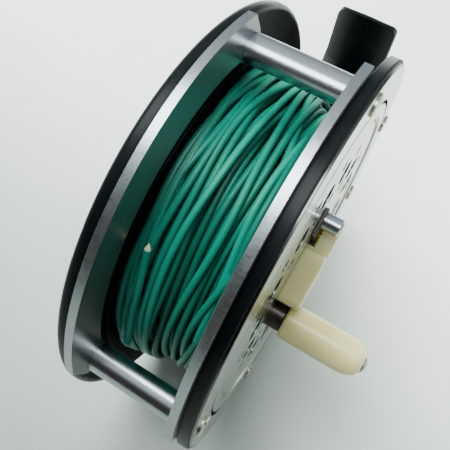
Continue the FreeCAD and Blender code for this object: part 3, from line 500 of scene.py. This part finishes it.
# ------------------------------------------------------------------ wound fly line (mm)
low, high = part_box("fly_line")
LINE_RADIUS = (high.x - low.x) / 2 * 1000.0
LEVEL_LOW, LEVEL_HIGH = -high.y * 1000.0, -low.y * 1000.0   # between the flanges
STRAND = 0.62             # strand radius
PACK_DEPTH = 4.3          # depth filled with laid turns
MAX_TURNS = 70
TURN_STEPS = 240          # points round one turn
LEVEL_STEPS = 196         # height samples across the spool
START_ANGLE = 0.9         # radians
# (harmonic, amplitude) of the sideways wander within one turn
WANDER = [(1, 1.15), (2, 0.75), (3, 0.40), (4, 0.16)]
# (cycles per radian, amplitude) of the tone drift along the line
TONE_DRIFT = [(0.13, 0.16), (0.31, 0.14), (0.77, 0.08), (1.9, 0.05)]


def top_radius(level):
    """Outside of the pack, which stands higher against the rear flange."""
    return LINE_RADIUS + 1.55 - 0.185 * (np.asarray(level) - 4.5)


def gaussian(reach, spread):
    kernel = np.exp(-0.5 * (np.arange(-reach, reach + 1) / spread) ** 2)
    return kernel / kernel.sum()


def smooth(values, kernel):
    return np.convolve(np.pad(values, len(kernel) // 2, mode="edge"), kernel, "valid")


def lay_line():
    """Lay turn on turn over a height map; returns angle, level and radius of the path."""
    levels = np.linspace(LEVEL_LOW, LEVEL_HIGH, LEVEL_STEPS)
    step = levels[1] - levels[0]
    reach = int(STRAND / step)
    # height of the round strand above its centre, sample by sample
    crown = np.sqrt(np.maximum(STRAND ** 2 - (np.arange(-reach, reach + 1) * step) ** 2, 0))
    base = top_radius(levels) - PACK_DEPTH
    height = np.repeat(base[None, :], TURN_STEPS, axis=0)
    lowest, highest = LEVEL_LOW + STRAND + 0.02, LEVEL_HIGH - STRAND - 0.02
    theta = np.arange(TURN_STEPS) / TURN_STEPS * 2 * np.pi
    rows = np.arange(TURN_STEPS)

    def sample(grid, level):
        """Grid value at a level on every row, and the column below it."""
        position = np.clip((level - LEVEL_LOW) / step, 0, LEVEL_STEPS - 1.001)
        column = position.astype(int)
        part = position - column
        return grid[rows, column] * (1 - part) + grid[rows, column + 1] * part, column

    turns = []
    last_level = lowest
    direction = 1.0
    depth = 0.0
    for _ in range(MAX_TURNS):
        fullness = depth / PACK_DEPTH
        # the line is guided more loosely as the spool fills
        loose = 0.25 + 1.45 * np.clip(fullness * 1.5, 0, 1)
        wander = np.zeros(TURN_STEPS)
        for harmonic, amplitude in WANDER:
            wander += (draw.normal(0, amplitude * loose)
                       * np.sin(harmonic * theta + draw.uniform(0, 6.28)))
        # mostly close turns, now and then a wide one
        if draw.random() > 0.22 + 0.2 * fullness:
            pitch = draw.uniform(1.0, 1.7)
        else:
            pitch = draw.uniform(2.4, 5.0)
        level = last_level + direction * pitch * rows / TURN_STEPS + (wander - wander[0])
        # turn back at the flanges
        if level[-1] > highest or level[-1] < lowest:
            direction *= -1
        level = np.where(level > highest, highest - 0.35 * (level - highest), level)
        level = np.where(level < lowest, lowest + 0.35 * (lowest - level), level)
        level = np.clip(level, lowest, highest)
        # height at which a strand centre would rest at every place
        contact = np.full_like(height, -1.0)
        padded = np.pad(height, ((0, 0), (reach, reach)), mode="edge")
        for j in range(2 * reach + 1):
            contact = np.maximum(contact, padded[:, j:j + LEVEL_STEPS] + crown[j])
        # let the strand slip sideways into the grooves
        gradient = np.gradient(contact, step, axis=1)
        for _ in range(12):
            slope, _column = sample(gradient, level)
            slip = smooth(-0.09 * np.clip(slope, -1.2, 1.2), gaussian(24, 8.0))
            slip *= 1 - np.exp(-rows / 10.0)
            level = np.clip(level + slip, lowest, highest)
        rest, column = sample(contact, level)
        # a taut strand bridges small hollows
        around = np.concatenate([rest, rest, rest])
        bridged = around.copy()
        for s in range(1, 8):
            beside = np.maximum(np.roll(around, s), np.roll(around, -s))
            bridged = np.maximum(bridged, beside - 0.004 * s * s)
        radius = np.convolve(bridged, gaussian(14, 4.0), "same")[TURN_STEPS:2 * TURN_STEPS]
        radius = np.minimum(radius, top_radius(level) - STRAND + 0.02)
        for j in range(-reach, reach + 1):
            index = np.clip(column + j, 0, LEVEL_STEPS - 1)
            height[rows, index] = np.maximum(height[rows, index], radius + crown[j + reach])
        turns.append((level, radius))
        last_level = level[-1]
        depth = np.percentile(height - base[None, :], 40)
        if depth > PACK_DEPTH - 0.75:
            break
    # soften the joins between turns
    level, radius = (smooth(np.concatenate(part), gaussian(9, 3.0)) for part in zip(*turns))
    return np.arange(len(level)) / TURN_STEPS * 2 * np.pi, level, radius


def line_tone(angle, radius):
    """Tone drifting along the line and varied turn by turn, with painted shade: paler further
    out, darker on the deeper turns.
    """
    tone = np.full(len(angle), 0.5)
    for rate, amplitude in TONE_DRIFT:
        tone += amplitude * np.sin(rate * angle + draw.uniform(0, 6.28))
    # painted shade: deeper turns darker, outer turns paler
    tone += 0.10 * (radius - radius.min()) / (radius.max() - radius.min())
    turn = (angle / (2 * np.pi)).astype(int)
    tone += draw.normal(0, 0.10, turn.max() + 2)[turn]
    return np.clip(smooth(tone, np.ones(25) / 25), 0, 1)


def line_core():
    """Ridged core of buried turns under the open ones."""
    inner_radius = 10.5
    ridge_steps = 8
    steps = int((LEVEL_HIGH - LEVEL_LOW - 0.3) / 1.2) * ridge_steps   # ridges about 1.2 wide
    profile = [(inner_radius, LEVEL_LOW + 0.15)]
    for k in range(steps + 1):
        level = LEVEL_LOW + 0.2 + (LEVEL_HIGH - LEVEL_LOW - 0.4) * k / steps
        ridge = 0.38 * abs(math.sin(math.pi * k / ridge_steps))
        profile.append((float(top_radius(level)) - 4.65 + ridge, level))
    profile.append((inner_radius, LEVEL_HIGH - 0.15))
    # painted shade: the buried core gets nearly the darkest tone of the line
    return lathe("fly_line_core", profile, green, tone=0.05)


def ride_spool(obj):
    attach(obj, "spool")


angle, level, radius = lay_line()
strands = tube("fly_line_turns", polar_points(angle + START_ANGLE, level, radius),
               STRAND * MM, 10, green, line_tone(angle, radius))
core = line_core()
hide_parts("fly_line")
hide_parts("line_backing")
ride_spool(strands)
ride_spool(core)


# free end of the line: lies on the pack and lifts away from it at the far end
END_ANGLE = 137.0         # degrees, at the cut face
END_LEVEL = 6.55
along = np.linspace(0, 1, 90)
end_radius = LINE_RADIUS + 1.35 + 0.9 * np.clip((along - 0.72) / 0.28, 0, 1) ** 2
end_path = polar_points(np.radians(END_ANGLE + 37.0 * along),
                        END_LEVEL + 1.25 * along + 0.35 * np.sin(along * 5.0), end_radius)
ride_spool(tube("fly_line_tag_end", end_path, STRAND * MM * 0.98, 14, green,
                np.clip(0.72 + 0.1 * np.sin(along * 9), 0, 1)))

# pale thread tapering out of the cut face
THREAD_RADII = np.array([0.56, 0.55, 0.52, 0.46, 0.38, 0.28, 0.2, 0.14, 0.07])
root, tip = polar_points(np.radians([END_ANGLE, 134.9]), np.array([END_LEVEL, 6.50]),
                         end_radius[0] + np.array([0.0, 0.18]))
along = np.linspace(0, 1, len(THREAD_RADII))[:, None]
ride_spool(tube("fly_line_cut_thread", root * (1 - along) + tip * along,
                THREAD_RADII * MM, 12, core_thread("line_core_thread")))

# ------------------------------------------------------------------ handle knob (mm)
KNOB_BORE = 1.26          # radius
# (part of the length from the reel end, depth below the largest radius)
KNOB_OUTLINE = np.array([
    (0.0, 0.40), (0.020, 0.12), (0.06, 0.05), (0.12, 0.03), (0.35, 0.0), (0.60, 0.0),
    (0.74, 0.05), (0.82, 0.14), (0.88, 0.32), (0.925, 0.58), (0.955, 0.87),
    (0.98, 1.25), (1.0, 1.75)])


def hermite(x, y, samples):
    """Smooth cubic curve through the points (x, y)."""
    slope = np.gradient(y, x)
    values = []
    for sample in samples:
        i = min(max(np.searchsorted(x, sample) - 1, 0), len(x) - 2)
        gap = x[i + 1] - x[i]
        u = (sample - x[i]) / gap
        values.append((2 * u ** 3 - 3 * u ** 2 + 1) * y[i]
                      + (u ** 3 - 2 * u ** 2 + u) * gap * slope[i]
                      + (-2 * u ** 3 + 3 * u ** 2) * y[i + 1]
                      + (u ** 3 - u ** 2) * gap * slope[i + 1])
    return np.array(values)


def handle_knob():
    """Smooth turned barrel, rounded off towards its outer end."""
    low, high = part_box("handle_knob")
    centre = ((low.x + high.x) / 2 * 1000, (low.z + high.z) / 2 * 1000)
    start, end = -high.y * 1000, -low.y * 1000
    largest = (high.x - low.x) / 2 * 1000
    # finer steps at both rounded ends
    parts = np.concatenate([np.linspace(0, 0.03, 6), np.linspace(0.04, 0.86, 40),
                            np.linspace(0.865, 1.0, 26)])
    radii = hermite(KNOB_OUTLINE[:, 0], largest - KNOB_OUTLINE[:, 1], parts)
    barrel = zip(np.minimum(radii, largest), start + (end - start) * parts)
    profile = [(KNOB_BORE, start), *barrel, (KNOB_BORE, end)]
    return lathe("handle_knob_turned", profile, ivory, centre)


knob = handle_knob()
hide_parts("handle_knob")
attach(knob, "handle")

# ------------------------------------------------------------------ floor and room
floor_material = floor_surface("studio_floor")
floor_level = float(CAD_BOX[0][2]) - 0.0006      # just under the reel
bpy.ops.mesh.primitive_plane_add(size=3.0, location=(0.0, 0.0, floor_level))
floor = bpy.context.object
floor.name = "floor"
floor.data.materials.append(floor_material)


def studio_world():
    """Pale room, brighter overhead, with a dark brownish side towards -X."""
    world = bpy.data.worlds.new("studio")
    bpy.context.scene.world = world
    world.use_nodes = True
    w = Shader(world.node_tree)
    view = w.add("TexCoord").outputs["Generated"]
    room = w.ramp(w.add("SeparateXYZ", {0: view}).outputs[2], [
        (0.0, (0.30, 0.33, 0.35)), (0.35, (0.42, 0.46, 0.48)), (1.0, (0.86, 0.93, 0.95))])
    dark_side = Vector((-0.95, 0.05, 0.30)).normalized()
    toward = w.add("VectorMath", {0: view, 1: dark_side}, operation="DOT_PRODUCT")
    dark = w.map_range(toward.outputs["Value"], (0.50, 0.88), (0.0, 1.0),
                       interpolation_type="SMOOTHSTEP")
    color = w.mix(dark, room, (0.055, 0.042, 0.040))
    background = w.add("Background", {"Color": color, "Strength": 1.12})
    w.add("OutputWorld", {"Surface": background.outputs[0]})


studio_world()


# ------------------------------------------------------------------ lights and camera
def aimed(direction, distance):
    """Location out along a direction, and the rotation that looks back at the origin."""
    direction = Vector(direction).normalized()
    return dict(location=direction * distance,
                rotation=(-direction).to_track_quat("-Z", "Y").to_euler())


def area_light(name, power, color, size, location, rotation, size_y=None, unseen_by=()):
    light = bpy.data.lights.new(name, "AREA")
    light.energy = power
    light.color = color
    light.size = size
    if size_y:
        light.shape = "RECTANGLE"
        light.size_y = size_y
    obj = bpy.data.objects.new(name, light)
    obj.location = location
    obj.rotation_euler = rotation
    bpy.context.scene.collection.objects.link(obj)
    for ray in unseen_by:
        setattr(obj, "visible_" + ray, False)


area_light("key", power=12.0, color=(0.94, 1.0, 0.985), size=0.40, size_y=0.45,
           **aimed((-0.10, 0.28, 0.95), distance=0.9), unseen_by=["glossy"])
area_light("side", power=25.0, color=(0.94, 1.0, 0.975), size=0.7,
           **aimed((0.62, 0.25, 0.75), distance=1.1), unseen_by=["glossy"])
# narrow strip close above the reel, for long highlights on rods, rims and knob
area_light("strip", power=0.060, color=(0.93, 0.99, 1.0), size=0.020, size_y=0.085,
           location=(-0.0125, -0.013, 0.066), rotation=(0.0, math.radians(-8.0), 0.0),
           unseen_by=["diffuse", "camera"])

lens = bpy.data.cameras.new("camera")
lens.lens = 42.06
lens.sensor_width = 36.0
lens.clip_start = 0.005
camera = bpy.data.objects.new("camera", lens)
camera_axes = Matrix((
    (0.52066, -0.85190, 0.05644),      # right
    (0.72108, 0.47418, 0.50519),       # up
    (-0.45713, -0.22233, 0.86117),     # back
)).transposed()
camera_place = Matrix.Translation((-0.04958, -0.03181, 0.09056))
camera.matrix_world = camera_place @ camera_axes.to_4x4()
bpy.context.scene.collection.objects.link(camera)
bpy.context.scene.camera = camera

bpy.context.view_layer.update()
